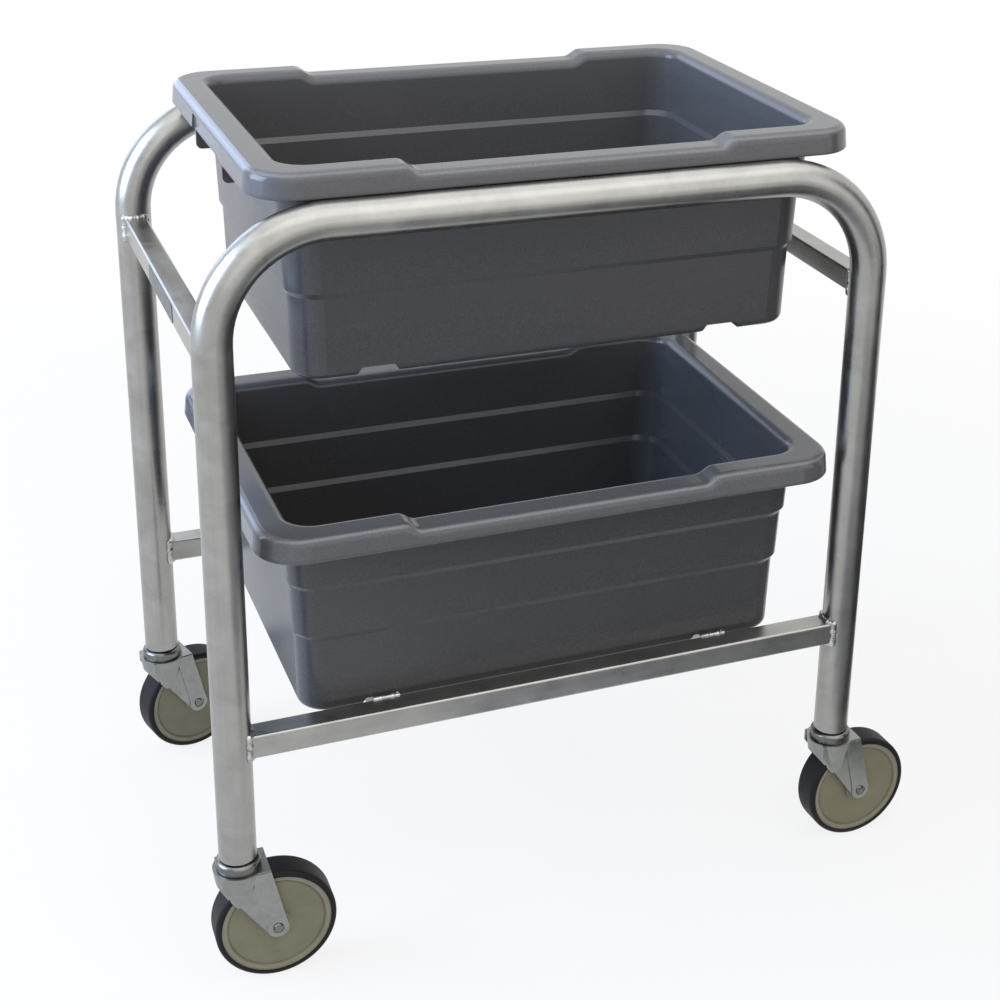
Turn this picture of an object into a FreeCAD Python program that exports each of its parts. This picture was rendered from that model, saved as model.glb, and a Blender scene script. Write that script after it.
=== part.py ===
import FreeCAD, Part
import os
import re
import Sketcher
from FreeCAD import Rotation, Vector

# Meat lug cart: two bent tube hoops on four stem casters, carrying two moulded lugs.
# Millimetres, +Z up, +X along the long side. The origin is on the floor under the frame's middle.

sizes = {
    # frame
    "tube_od": 38.1,
    "tube_wall": 3.0,
    "leg_spacing": 680.0,
    "hoop_spacing": 436.0,
    "hoop_height": 804.0,          # axis of the hoop's top tube
    "bend_radius": 110.0,
    "leg_end": 146.0,              # height of the open lower end of a leg
    "rail_size": 25.4,
    "rail_top": 287.0,
    "crossbar_size": 23.5,
    "crossbar_top": 691.0,
    "bar_width": 25.4,
    "bar_spacing": 368.0,
    "bar_shift": 5.0,              # the support bars stand this far to the right
    "stock_wall": 2.0,
    "stock_corner": 2.5,
    # blank label plate on the left crossbar
    "label_length": 130.0,
    "label_height": 19.0,
    "label_thickness": 0.5,
    "label_offset": -18.0,
    "label_corner": 3.0,
    # lugs
    "upper_lug_shift": 12.5,       # the upper lug lies this far to the right on the hoops
    "lower_lug_shift": 2.0,        # the lower lug stands this far to the right
    "lower_lug_forward": 28.0,     # and this far to the front on its bars
    "lug_length": 621.0,
    "lug_width": 435.0,
    "lug_height": 220.0,
    "lug_wall": 3.2,
    "rim_height": 25.0,
    "rim_overhang": 34.0,
    "rim_corner": 46.0,
    "rim_round": 9.0,
    "rim_lip": 9.5,                # rounding where the rim turns into the tub
    "rim_flare": 6.0,              # degrees that the skirt leans out towards its lower edge
    "skirt_wall": 2.5,
    "skirt_round": 2.0,
    "body_corner": 30.0,
    "bottom_round": 8.0,
    "draft_upper": 1.7,
    "draft_middle": 1.7,
    "draft_lower": 1.7,
    "step_inset": 3.0,
    "step_drop": 6.0,
    "upper_step": 47.0,            # below the skirt
    "lower_step": 105.0,
    "dip_length": 322.0,
    "dip_depth": 8.0,
    "dip_ramp": 12.0,
    "dip_round": 14.0,
    "groove_play": 5.3,            # room beside a support bar in the lower lug's groove
    "groove_flare": 4.0,
    "groove_depth": 9.0,
    "groove_bevel": 1.5,
    "grip_width": 130.0,
    "grip_recess": 3.0,
    "rib_thickness": 3.0,
    "rib_drop": 22.0,
    "rib_round": 6.0,
    "rest_gap": 0.3,
    # casters
    "wheel_od": 125.0,
    "tread_width": 32.0,
    "tread_round": 6.0,
    "core_od": 113.0,
    "core_ring": 104.0,
    "core_width": 29.0,
    "ring_slope": 2.5,
    "web_width": 25.5,
    "hub_od": 30.0,
    "hub_width": 33.0,
    "trail": 34.0,
    "bushing_od": 12.0,
    "axle_od": 8.0,
    "axle_head_od": 10.5,
    "axle_head": 2.4,
    "axle_recess_od": 13.0,
    "run_fit": 0.05,
    "fork_gap": 36.0,
    "wheel_gap": 2.0,
    "fork_sheet": 2.5,
    "fork_band": 1.2,
    "fork_fold": 1.5,
    "eye_radius": 11.0,
    "eye_back": 8.0,               # where the leg's slanting edge meets the eye
    "eye_below": 7.5,
    "crown_top": 133.0,
    "crown_sheet": 3.0,
    "crown_radius": 26.0,
    "crown_reach": 29.0,
    "crown_flare": 38.0,           # height of the cone that joins the crown to the legs
    "shoulder_drop": 13.0,
    "band_back": 9.0,
    "race_od": 45.0,
    "race_round": 4.5,
    "race_gap": 0.8,
    "race_sheet": 2.5,
    "washer_thickness": 2.0,
    "washer_od": 35.0,
    "ball_od": 5.0,
    "ball_circle": 31.0,
    "ball_gap": 0.3,
    "kingpin_od": 12.0,
    "kingpin_head_od": 20.0,
    "kingpin_head": 3.5,
    "kingpin_proud": 4.0,
    "expander_length": 42.0,
    "nut_circle": 21.0,
    "nut_height": 9.0,
    # caster rest angles, degrees about the stem
    "front_left_yaw": -1.0,
    "front_right_yaw": 2.5,
    "rear_left_yaw": 15.5,
    "rear_right_yaw": 6.0,
}
ball_count = 14
round_steps = 5                    # flats that make up a lug's rounded bottom edge

doc = FreeCAD.newDocument("LugCart")
sheet = doc.addObject("Spreadsheet::Sheet", "Sizes")
for row, (alias, value) in enumerate(sizes.items(), start=1):
    sheet.set("A%d" % row, alias)
    sheet.set("B%d" % row, str(value))
    sheet.setAlias("B%d" % row, alias)
doc.recompute()

# heights and widths that several pieces share, as formulas of the sheet
bend_height = "hoop_height - bend_radius"
bend_reach = "leg_spacing / 2 - bend_radius"
skirt_bottom = "lug_height - rim_height"
upper_base = "hoop_height + tube_od / 2 + rest_gap - lug_height + rim_height"
lower_base = "rail_top + rest_gap - groove_depth"
groove_half = "bar_width / 2 + groove_play"
lower_inset = "rim_overhang + draft_upper + draft_middle + 2 * step_inset"
channel_depth = "rim_height - dip_depth - lug_wall"
flare = "rim_height * tan(rim_flare * 1 deg)"
skirt_inside = "(skirt_wall + %s)" % flare
axle_height = "wheel_od / 2"
crown_bottom = "crown_top - crown_sheet"
washer_bottom = "leg_end - washer_thickness"
fork_half = "fork_gap / 2 + fork_sheet"
expander_top = "leg_end + expander_length"


def formula(text):
    """Put the sheet's name before every size in the text."""
    return re.sub(r"[a-z]\w*", lambda word: "Sizes." + word[0] if word[0] in sizes else word[0], text)


def number(text):
    return float(sheet.evalExpression(formula(text)))


def bind(item, prop, text):
    item.setExpression(prop, formula(text))


def move(item, x="0", y="0", z="0"):
    for axis, text in zip("xyz", (x, y, z)):
        bind(item, "Placement.Base." + axis, text)


def new_body(name):
    body = doc.addObject("PartDesign::Body", name)
    body.Label = name
    return body


def solid(body, kind, place, turn=None, **dims):
    """Add or cut one primitive; kind is for example AdditiveBox."""
    item = body.newObject("PartDesign::" + kind, kind)
    for prop, text in dims.items():
        bind(item, prop, text)
    if turn:
        item.Placement.Rotation = turn
    move(item, *place)
    doc.recompute()
    return item


def new_sketch(body, role, offset):
    sketch = body.newObject("Sketcher::SketchObject", "Profile")
    plane = next(item for item in body.Origin.OriginFeatures if item.Role == role)
    sketch.AttachmentSupport = [(plane, "")]
    sketch.MapMode = "FlatFace"
    bind(sketch, "AttachmentOffset.Base.z", offset)
    return sketch


def pin(sketch, kind, line, end, text):
    """Hold one end of a line at a formula's distance from the sketch origin."""
    index = sketch.addConstraint(Sketcher.Constraint(kind, -1, 1, line, end, number(text)))
    bind(sketch, "Constraints[%d]" % index, text)


def polygon(body, role, points, offset="0"):
    """Closed sketch whose corners are given as pairs of formulas."""
    sketch = new_sketch(body, role, offset)
    corners = [Vector(number(x), number(y), 0) for x, y in points]
    count = len(corners)
    for i in range(count):
        sketch.addGeometry(Part.LineSegment(corners[i], corners[(i + 1) % count]), False)
    for i in range(count):
        sketch.addConstraint(Sketcher.Constraint("Coincident", i, 2, (i + 1) % count, 1))
    for i, (x, y) in enumerate(points):
        pin(sketch, "DistanceX", i, 1, x)
        pin(sketch, "DistanceY", i, 1, y)
    return sketch


def add_rounded(sketch, length, width, radius):
    """Rounded rectangle about the sketch origin, its sides and corner radius as formulas."""
    half_x = "(%s) / 2" % length
    half_y = "(%s) / 2" % width
    flat_x = "(%s - (%s))" % (half_x, radius)
    flat_y = "(%s - (%s))" % (half_y, radius)
    sides = (
        ((flat_x, "-" + half_y), (half_x, "-" + flat_y)),
        ((half_x, flat_y), (flat_x, half_y)),
        (("-" + flat_x, half_y), ("-" + half_x, flat_y)),
        (("-" + half_x, "-" + flat_y), ("-" + flat_x, "-" + half_y)),
    )
    middles = ((1, -1), (1, 1), (-1, 1), (-1, -1))
    reach = 0.5 ** 0.5 * number(radius)
    first = sketch.GeometryCount
    for (start, end), (sign_x, sign_y) in zip(sides, middles):
        a = Vector(number(start[0]), number(start[1]), 0)
        b = Vector(number(end[0]), number(end[1]), 0)
        middle = Vector(sign_x * (number(flat_x) + reach), sign_y * (number(flat_y) + reach), 0)
        sketch.addGeometry(Part.Arc(a, middle, b), False)
    for i in range(4):
        a = sketch.getPoint(first + i, 2)
        b = sketch.getPoint(first + (i + 1) % 4, 1)
        sketch.addGeometry(Part.LineSegment(a, b), False)
    for i, (start, end) in enumerate(sides):
        arc = first + i
        sketch.addConstraint(Sketcher.Constraint("Coincident", arc, 2, first + 4 + i, 1))
        sketch.addConstraint(Sketcher.Constraint("Coincident", first + 4 + i, 2, first + (i + 1) % 4, 1))
        for end_index, point in ((1, start), (2, end)):
            pin(sketch, "DistanceX", arc, end_index, point[0])
            pin(sketch, "DistanceY", arc, end_index, point[1])
        index = sketch.addConstraint(Sketcher.Constraint("Radius", arc, number(radius)))
        bind(sketch, "Constraints[%d]" % index, radius)


def rounded(body, height, length, width, radius):
    sketch = new_sketch(body, "XY_Plane", height)
    add_rounded(sketch, length, width, radius)
    return sketch


def feature(body, kind, profile, **dims):
    item = body.newObject("PartDesign::" + kind, kind)
    item.Profile = profile
    for prop, text in dims.items():
        bind(item, prop, text)
    return item


def pad(body, profile, length, kind="Pad", both_ways=False, backward=False):
    item = feature(body, kind, profile, Length=length)
    item.Midplane = both_ways
    item.Reversed = backward
    doc.recompute()
    return item


def revolve(body, points, axis):
    """Turn a polygon of the YZ plane about its horizontal or vertical axis."""
    sketch = polygon(body, "YZ_Plane", points)
    item = feature(body, "Revolution", sketch)
    item.ReferenceAxis = (sketch, [axis])
    item.Angle = 360
    doc.recompute()
    return item


def loft(body, kind, sections):
    item = feature(body, kind, sections[0])
    item.Sections = [(section, [""]) for section in sections[1:]]
    item.Ruled = True
    doc.recompute()
    return item


def round_edges(body, radius, chosen):
    """Fillet every edge of the body whose middle point and direction are chosen."""
    names = []
    for i, edge in enumerate(body.Tip.Shape.Edges, start=1):
        middle = edge.valueAt((edge.FirstParameter + edge.LastParameter) / 2)
        along = edge.tangentAt((edge.FirstParameter + edge.LastParameter) / 2)
        if chosen(middle, along):
            names.append("Edge%d" % i)
    item = body.newObject("PartDesign::Fillet", "Fillet")
    item.Base = (item.BaseFeature, names)
    bind(item, "Radius", radius)
    doc.recompute()
    return item


def near(value, text, slack=0.05):
    return abs(value - number(text)) < slack


along_x = Rotation(Vector(0, 1, 0), 90)
along_y = Rotation(Vector(1, 0, 0), 90)
bend_right = Rotation(Vector(1, 0, 0), Vector(0, 0, 1), Vector(0, -1, 0), "XYZ")
bend_left = Rotation(Vector(-1, 0, 0), Vector(0, 0, 1), Vector(0, 1, 0), "XYZ")


def make_hoop(name, y):
    body = new_body(name)
    for kind, radius in (("Additive", "tube_od / 2"), ("Subtractive", "tube_od / 2 - tube_wall")):
        leg = {"Radius": radius, "Height": bend_height + " - leg_end"}
        bend = {"Radius1": "bend_radius", "Radius2": radius, "Angle3": "90 deg"}
        top = {"Radius": radius, "Height": "2 * (%s)" % bend_reach}
        solid(body, kind + "Cylinder", ("-leg_spacing / 2", "0", "leg_end"), **leg)
        solid(body, kind + "Torus", ("-(%s)" % bend_reach, "0", bend_height), bend_left, **bend)
        solid(body, kind + "Cylinder", ("-(%s)" % bend_reach, "0", "hoop_height"), along_x, **top)
        solid(body, kind + "Torus", (bend_reach, "0", bend_height), bend_right, **bend)
        solid(body, kind + "Cylinder", ("leg_spacing / 2", "0", "leg_end"), **leg)
    move(body, y=y)


def cut_for_leg(body, x, y):
    solid(body, "SubtractiveCylinder", (x, y, "leg_end"), Radius="tube_od / 2", Height="hoop_height")


def make_rail(name, y):
    body = new_body(name)
    start = "-leg_spacing / 2"
    solid(body, "AdditiveBox", (start, "-rail_size / 2", "rail_top - rail_size"),
          Length="leg_spacing", Width="rail_size", Height="rail_size")
    round_edges(body, "stock_corner", lambda middle, along: abs(along.x) > 0.9)
    solid(body, "SubtractiveBox", (start, "stock_wall - rail_size / 2", "rail_top - rail_size + stock_wall"),
          Length="leg_spacing", Width="rail_size - 2 * stock_wall", Height="rail_size - 2 * stock_wall")
    cut_for_leg(body, "-leg_spacing / 2", "0")
    cut_for_leg(body, "leg_spacing / 2", "0")
    move(body, y=y)


def square_bar(body, width, top, length):
    """Square tube along Y, centred on the body's YZ plane."""
    inside = "%s - 2 * stock_wall" % width
    start = "-(%s) / 2" % length
    solid(body, "AdditiveBox", ("-%s / 2" % width, start, "%s - %s" % (top, width)),
          Length=width, Width=length, Height=width)
    round_edges(body, "stock_corner", lambda middle, along: abs(along.y) > 0.9)
    solid(body, "SubtractiveBox",
          ("stock_wall - %s / 2" % width, start, "%s - %s + stock_wall" % (top, width)),
          Length=inside, Width=length, Height=inside)


def make_crossbar(name, x):
    body = new_body(name)
    square_bar(body, "crossbar_size", "crossbar_top", "hoop_spacing")
    cut_for_leg(body, "0", "-hoop_spacing / 2")
    cut_for_leg(body, "0", "hoop_spacing / 2")
    move(body, x=x)


def make_support(name, x):
    body = new_body(name)
    square_bar(body, "bar_width", "rail_top", "hoop_spacing - rail_size")
    move(body, x=x)


def make_label():
    body = new_body("label_plate")
    solid(body, "AdditiveBox", ("-label_thickness", "-label_length / 2", "-label_height / 2"),
          Length="label_thickness", Width="label_length", Height="label_height")
    round_edges(body, "label_corner", lambda middle, along: abs(along.x) > 0.9)
    move(body, "-leg_spacing / 2 - crossbar_size / 2", "label_offset", "crossbar_top - crossbar_size / 2")


def wall_sections(body, base, thickness):
    """Sketches up the wall, thickness in from its outside: the rounded bottom edge, then the two steps."""
    bottom = "(bottom_round - %s)" % thickness
    levels = []
    for i in range(round_steps):
        turn = "%d * 90 deg / %d" % (i, round_steps)
        levels.append(("%s + %s * (1 - cos(%s))" % (base, bottom, turn), lower_inset + " + draft_lower",
                       "%s * (1 - sin(%s))" % (bottom, turn)))
    for height, inset in (
        (base + " + " + bottom, lower_inset + " + draft_lower"),
        (skirt_bottom + " - lower_step - step_drop", lower_inset),
        (skirt_bottom + " - lower_step", lower_inset + " - step_inset"),
        (skirt_bottom + " - upper_step - step_drop", "rim_overhang + draft_upper + step_inset"),
        (skirt_bottom + " - upper_step", "rim_overhang + draft_upper"),
        (skirt_bottom, "rim_overhang"),
    ):
        levels.append((height, inset, "0"))
    return [rounded(body, height,
                    "lug_length - 2 * (%s + %s + %s)" % (inset, thickness, rounding),
                    "lug_width - 2 * (%s + %s + %s)" % (inset, thickness, rounding),
                    "body_corner - %s - %s" % (thickness, rounding))
            for height, inset, rounding in levels]


def make_lug(name, shift, forward, base):
    body = new_body(name)
    loft(body, "AdditiveLoft", wall_sections(body, "0", "0"))

    # flared rim block with the dipped middle of its long sides
    rim = pad(body, rounded(body, skirt_bottom, "lug_length", "lug_width", "rim_corner"), "rim_height")
    bind(rim, "TaperAngle", "-rim_flare * 1 deg")
    doc.recompute()
    dip_floor = "lug_height - dip_depth"
    dip = polygon(body, "XZ_Plane", (
        ("-dip_length / 2 + dip_ramp / 2", dip_floor),
        ("dip_length / 2 - dip_ramp / 2", dip_floor),
        ("dip_length / 2 + dip_ramp / 2", "lug_height"),
        ("dip_length / 2 + dip_ramp / 2", "lug_height + dip_depth"),
        ("-dip_length / 2 - dip_ramp / 2", "lug_height + dip_depth"),
        ("-dip_length / 2 - dip_ramp / 2", "lug_height"),
    ))
    pad(body, dip, "lug_width", "Pocket", both_ways=True)
    round_edges(body, "dip_round", lambda middle, along: abs(along.y) > 0.99 and near(middle.y, "0")
                and middle.z > number(dip_floor + " - 1") and abs(middle.x) < number("lug_length / 3"))
    round_edges(body, "rim_round", lambda middle, along: middle.z > number(dip_floor + " - 1")
                and abs(along.z) < 0.9
                and (abs(middle.y) > number("lug_width / 2 - 1 - " + flare)
                     or abs(middle.x) > number("lug_length / 3")))
    round_edges(body, "skirt_round", lambda middle, along: near(middle.z, skirt_bottom)
                and (abs(middle.y) > number("lug_width / 2 - rim_corner / 2")
                     or abs(middle.x) > number("lug_length / 2 - rim_corner / 2")))

    # tub
    mouth = rounded(body, skirt_bottom, "lug_length - 2 * (rim_overhang + lug_wall)",
                    "lug_width - 2 * (rim_overhang + lug_wall)", "body_corner - lug_wall")
    pad(body, mouth, "rim_height", "Pocket", backward=True)
    round_edges(body, "rim_lip", lambda middle, along: middle.z > number(dip_floor + " - 1")
                and abs(along.z) < 0.9
                and abs(middle.x) < number("lug_length / 2 - rim_overhang - lug_wall / 2")
                and abs(middle.y) < number("lug_width / 2 - rim_overhang - lug_wall / 2")
                and (abs(middle.x) > number("lug_length / 2 - rim_overhang - body_corner")
                     or abs(middle.y) > number("lug_width / 2 - rim_overhang - body_corner / 2")))
    loft(body, "SubtractiveLoft", wall_sections(body, "lug_wall", "lug_wall"))

    # hollow under the rim, with gusset ribs that close the hand grips at both ends
    channel = rounded(body, skirt_bottom, "lug_length - 2 * " + skirt_inside, "lug_width - 2 * " + skirt_inside,
                      "rim_corner - " + skirt_inside)
    add_rounded(channel, "lug_length - 2 * rim_overhang", "lug_width - 2 * rim_overhang", "body_corner")
    pad(body, channel, channel_depth, "Pocket", backward=True)
    rib_start = "(%s - skirt_wall / 2)" % skirt_inside
    for x in (rib_start + " - lug_length / 2", "lug_length / 2 - rim_overhang - draft_upper"):
        for y in ("-grip_width / 2", "grip_width / 2"):
            solid(body, "AdditiveBox", (x, y + " - rib_thickness / 2", skirt_bottom + " - rib_drop"),
                  Length="rim_overhang + draft_upper - " + rib_start, Width="rib_thickness",
                  Height="rib_drop + " + channel_depth)
    round_edges(body, "rib_round", lambda middle, along: abs(along.y) > 0.9
                and near(middle.z, skirt_bottom + " - rib_drop")
                and near(abs(middle.x), "lug_length / 2 - " + rib_start))
    for x in ("-lug_length / 2", "lug_length / 2 - grip_recess"):
        solid(body, "SubtractiveBox", (x, "-grip_width / 2", skirt_bottom),
              Length="grip_recess", Width="grip_width", Height="rim_height - rim_round")

    # grooves in the bottom that drop over the support bars, with a ridge over each inside the tub
    ridge_half = "(%s + groove_flare + lug_wall)" % groove_half
    ridge_steps = (
        ("lug_wall / 2", "bottom_round / 2 + lug_wall / 4", "bottom_round / 2"),
        ("bottom_round / 2", "groove_depth + lug_wall", "lug_wall / 2"),
    )
    for x in ("-bar_spacing / 2", "bar_spacing / 2"):
        for low, high, inset in ridge_steps:
            end = "(%s + draft_lower + %s)" % (lower_inset, inset)
            solid(body, "AdditiveBox", ("%s - %s" % (x, ridge_half), "%s - lug_width / 2" % end, low),
                  Length="2 * " + ridge_half, Width="lug_width - 2 * " + end, Height="%s - (%s)" % (high, low))
        groove = polygon(body, "XZ_Plane", (
            ("%s - (%s) - groove_flare" % (x, groove_half), "0"),
            ("%s + (%s) + groove_flare" % (x, groove_half), "0"),
            ("%s + (%s)" % (x, groove_half), "groove_depth - groove_bevel"),
            ("%s + (%s) - groove_bevel" % (x, groove_half), "groove_depth"),
            ("%s - (%s) + groove_bevel" % (x, groove_half), "groove_depth"),
            ("%s - (%s)" % (x, groove_half), "groove_depth - groove_bevel"),
        ))
        pad(body, groove, "lug_width", "Pocket", both_ways=True)
    move(body, shift, "-(%s)" % forward, base)


class Corner:
    """One caster's place: its name, its leg and its rest angle."""

    def __init__(self, name, leg_x, leg_y):
        self.name = name
        self.leg_x = leg_x
        self.leg_y = leg_y
        self.yaw = "%s_yaw * 1 deg" % name

    def body(self, piece):
        return new_body("%s_%s" % (self.name, piece))

    def seat(self, item, reach="0", height="0"):
        move(item, "%s + (%s) * cos(%s)" % (self.leg_x, reach, self.yaw),
             "%s + (%s) * sin(%s)" % (self.leg_y, reach, self.yaw), height)
        bind(item, "Placement.Rotation.Angle", self.yaw)


def make_wheel(corner):
    core = corner.body("wheel_core")
    revolve(core, (
        ("-hub_width / 2", "bushing_od / 2 + run_fit"),
        ("hub_width / 2", "bushing_od / 2 + run_fit"),
        ("hub_width / 2", "hub_od / 2"),
        ("web_width / 2", "hub_od / 2"),
        ("web_width / 2", "core_ring / 2 - ring_slope"),
        ("core_width / 2", "core_ring / 2"),
        ("core_width / 2", "core_od / 2"),
        ("-core_width / 2", "core_od / 2"),
        ("-core_width / 2", "core_ring / 2"),
        ("-web_width / 2", "core_ring / 2 - ring_slope"),
        ("-web_width / 2", "hub_od / 2"),
        ("-hub_width / 2", "hub_od / 2"),
    ), "H_Axis")
    corner.seat(core, "trail", axle_height)

    tread = corner.body("tread")
    revolve(tread, (
        ("-tread_width / 2", "core_od / 2"),
        ("tread_width / 2", "core_od / 2"),
        ("tread_width / 2", axle_height),
        ("-tread_width / 2", axle_height),
    ), "H_Axis")
    round_edges(tread, "tread_round - (tread_width - core_width) / 2",
                lambda middle, along: near((middle.x ** 2 + middle.z ** 2) ** 0.5, axle_height))
    corner.seat(tread, "trail", axle_height)

    bushing = corner.body("bushing")
    revolve(bushing, (
        ("-fork_gap / 2", "axle_od / 2 + run_fit"),
        ("fork_gap / 2", "axle_od / 2 + run_fit"),
        ("fork_gap / 2", "bushing_od / 2"),
        ("-fork_gap / 2", "bushing_od / 2"),
    ), "H_Axis")
    corner.seat(bushing, "trail", axle_height)

    axle = corner.body("axle")
    dome = (
        ("%s + axle_head", "0"),
        ("%s + axle_head", "axle_head_od / 5"),
        ("%s + axle_head * 0.7", "axle_head_od * 0.4"),
        ("%s", "axle_head_od / 2"),
        ("%s", "axle_od / 2"),
    )
    right_end = [(reach % fork_half, radius) for reach, radius in dome]
    left_end = [("-(%s)" % reach, radius) for reach, radius in reversed(right_end)]
    revolve(axle, right_end + left_end, "H_Axis")
    corner.seat(axle, "trail", axle_height)


def make_fork(corner):
    body = corner.body("fork")
    flare_foot = "crown_top - crown_flare"
    solid(body, "AdditiveCone", ("0", "0", flare_foot),
          Radius1=fork_half, Radius2="crown_radius", Height="crown_flare")
    solid(body, "SubtractiveCone", ("0", "0", flare_foot),
          Radius1="fork_gap / 2", Radius2="crown_radius - fork_sheet", Height="crown_flare - crown_sheet")
    solid(body, "AdditiveBox", ("0", "-(%s)" % fork_half, crown_bottom),
          Length="crown_reach", Width="2 * (%s)" % fork_half, Height="crown_sheet")
    low_x = "trail - eye_back"
    low_z = axle_height + " - eye_below"
    leg = (
        ("-(%s)" % fork_half, "crown_top"),
        ("-(%s)" % fork_half, "crown_top - shoulder_drop"),
        (low_x, low_z),
        ("trail + eye_radius", axle_height),
        ("crown_reach", "crown_top"),
    )
    band = (
        ("band_back", "crown_top - fork_fold"),
        (low_x, low_z),
        ("trail + eye_radius", axle_height),
        ("crown_reach", "crown_top - fork_fold"),
    )
    plates = (
        (leg, "fork_gap / 2", "fork_sheet"),
        (leg, "-(%s)" % fork_half, "fork_sheet"),
        (band, fork_half, "fork_band"),
        (band, "-(%s) - fork_band" % fork_half, "fork_band"),
    )
    for points, offset, thickness in plates:
        pad(body, polygon(body, "XZ_Plane", points, offset), thickness)
    below_edge = polygon(body, "XZ_Plane", (
        ("-2 * crown_radius", "crown_top - shoulder_drop"),
        ("-crown_radius", "crown_top - shoulder_drop"),
        (low_x, low_z),
        ("-2 * crown_radius", low_z),
    ))
    pad(body, below_edge, "4 * crown_radius", "Pocket", both_ways=True)
    solid(body, "SubtractiveBox", ("0", "-fork_gap / 2", "0"),
          Length="2 * crown_radius", Width="fork_gap", Height=crown_bottom)
    solid(body, "SubtractiveCylinder", ("trail", "fork_gap / 2", axle_height), along_y,
          Radius="wheel_od / 2 + wheel_gap", Height="fork_gap")
    for y in (fork_half + " + fork_band", "-fork_gap / 2"):
        solid(body, "AdditiveCylinder", ("trail", y, axle_height), along_y,
              Radius="eye_radius", Height="fork_sheet + fork_band")
    for y in (fork_half + " + fork_band", "-(%s)" % fork_half):
        solid(body, "SubtractiveCylinder", ("trail", y, axle_height), along_y,
              Radius="axle_recess_od / 2", Height="fork_band")
    solid(body, "SubtractiveCylinder", ("trail", "fork_gap", axle_height), along_y,
          Radius="axle_od / 2 + run_fit", Height="2 * fork_gap")
    solid(body, "SubtractiveCylinder", ("0", "0", crown_bottom),
          Radius="kingpin_od / 2 + run_fit", Height="crown_sheet")
    corner.seat(body)


def make_stem(corner):
    kingpin = corner.body("kingpin")
    head_top = crown_bottom + " - rest_gap"
    revolve(kingpin, (
        ("0", head_top + " - kingpin_head"),
        ("kingpin_head_od / 3", head_top + " - kingpin_head"),
        ("kingpin_head_od / 2", head_top),
        ("kingpin_od / 2", head_top),
        ("kingpin_od / 2", expander_top + " + nut_height + kingpin_proud"),
        ("0", expander_top + " + nut_height + kingpin_proud"),
    ), "V_Axis")
    corner.seat(kingpin)

    race = corner.body("top_race")
    roof = "crown_top + ball_od + ball_gap"
    revolve(race, (
        ("kingpin_od / 2", roof),
        ("race_od / 2 - race_sheet", roof),
        ("race_od / 2 - race_sheet", "crown_top + race_gap"),
        ("race_od / 2", "crown_top + race_gap"),
        ("race_od / 2", washer_bottom),
        ("kingpin_od / 2", washer_bottom),
    ), "V_Axis")
    round_edges(race, "race_round", lambda middle, along: near(middle.z, washer_bottom)
                and near((middle.x ** 2 + middle.y ** 2) ** 0.5, "race_od / 2"))
    corner.seat(race)

    washer = corner.body("washer")
    revolve(washer, (
        ("kingpin_od / 2", washer_bottom),
        ("washer_od / 2", washer_bottom),
        ("washer_od / 2", "leg_end"),
        ("kingpin_od / 2", "leg_end"),
    ), "V_Axis")
    corner.seat(washer)

    expander = corner.body("expander")
    revolve(expander, (
        ("kingpin_od / 2", "leg_end"),
        ("tube_od / 2 - tube_wall", "leg_end"),
        ("tube_od / 2 - tube_wall", expander_top),
        ("kingpin_od / 2", expander_top),
    ), "V_Axis")
    corner.seat(expander)

    nut = corner.body("stem_nut")
    solid(nut, "AdditivePrism", ("0", "0", expander_top), Circumradius="nut_circle / 2", Height="nut_height")
    solid(nut, "SubtractiveCylinder", ("0", "0", expander_top), Radius="kingpin_od / 2", Height="nut_height")
    corner.seat(nut)


def make_balls(corner):
    balls = []
    for i in range(ball_count):
        ball = doc.addObject("Part::Sphere", "Ball")
        bind(ball, "Radius", "ball_od / 2")
        turn = "%d * 360 deg / %d" % (i, ball_count)
        move(ball, "ball_circle / 2 * cos(%s)" % turn, "ball_circle / 2 * sin(%s)" % turn,
             "crown_top + ball_od / 2")
        balls.append(ball)
    ring = doc.addObject("Part::Compound", "%s_balls" % corner.name)
    ring.Label = "%s_balls" % corner.name
    ring.Links = balls
    corner.seat(ring)
    return ring


make_hoop("front_hoop", "-hoop_spacing / 2")
make_hoop("rear_hoop", "hoop_spacing / 2")
make_rail("front_lower_rail", "-hoop_spacing / 2")
make_rail("rear_lower_rail", "hoop_spacing / 2")
make_crossbar("left_upper_crossbar", "-leg_spacing / 2")
make_crossbar("right_upper_crossbar", "leg_spacing / 2")
make_support("left_support_bar", "bar_shift - bar_spacing / 2")
make_support("right_support_bar", "bar_shift + bar_spacing / 2")
make_label()
make_lug("upper_lug", "upper_lug_shift", "0", upper_base)
make_lug("lower_lug", "lower_lug_shift", "lower_lug_forward", lower_base)

ball_rings = []
for corner in (
    Corner("front_left", "-leg_spacing / 2", "-hoop_spacing / 2"),
    Corner("front_right", "leg_spacing / 2", "-hoop_spacing / 2"),
    Corner("rear_left", "-leg_spacing / 2", "hoop_spacing / 2"),
    Corner("rear_right", "leg_spacing / 2", "hoop_spacing / 2"),
):
    make_wheel(corner)
    make_fork(corner)
    make_stem(corner)
    ball_rings.append(make_balls(corner))
doc.recompute()

for item in doc.Objects:
    if "Invalid" in item.State or "Error" in item.State:
        raise RuntimeError("%s (%s) did not build: %s" % (item.Name, item.Label, item.State))

pieces = [item for item in doc.Objects if item.TypeId == "PartDesign::Body"] + ball_rings
os.makedirs("parts", exist_ok=True)
for piece in pieces:
    if piece.Shape.isNull() or not piece.Shape.isValid():
        raise RuntimeError("%s has no valid shape" % piece.Label)
    piece.Shape.exportStep("parts/%s.step" % piece.Label)
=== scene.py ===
import math
import bpy
from mathutils import Matrix, Vector


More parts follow.
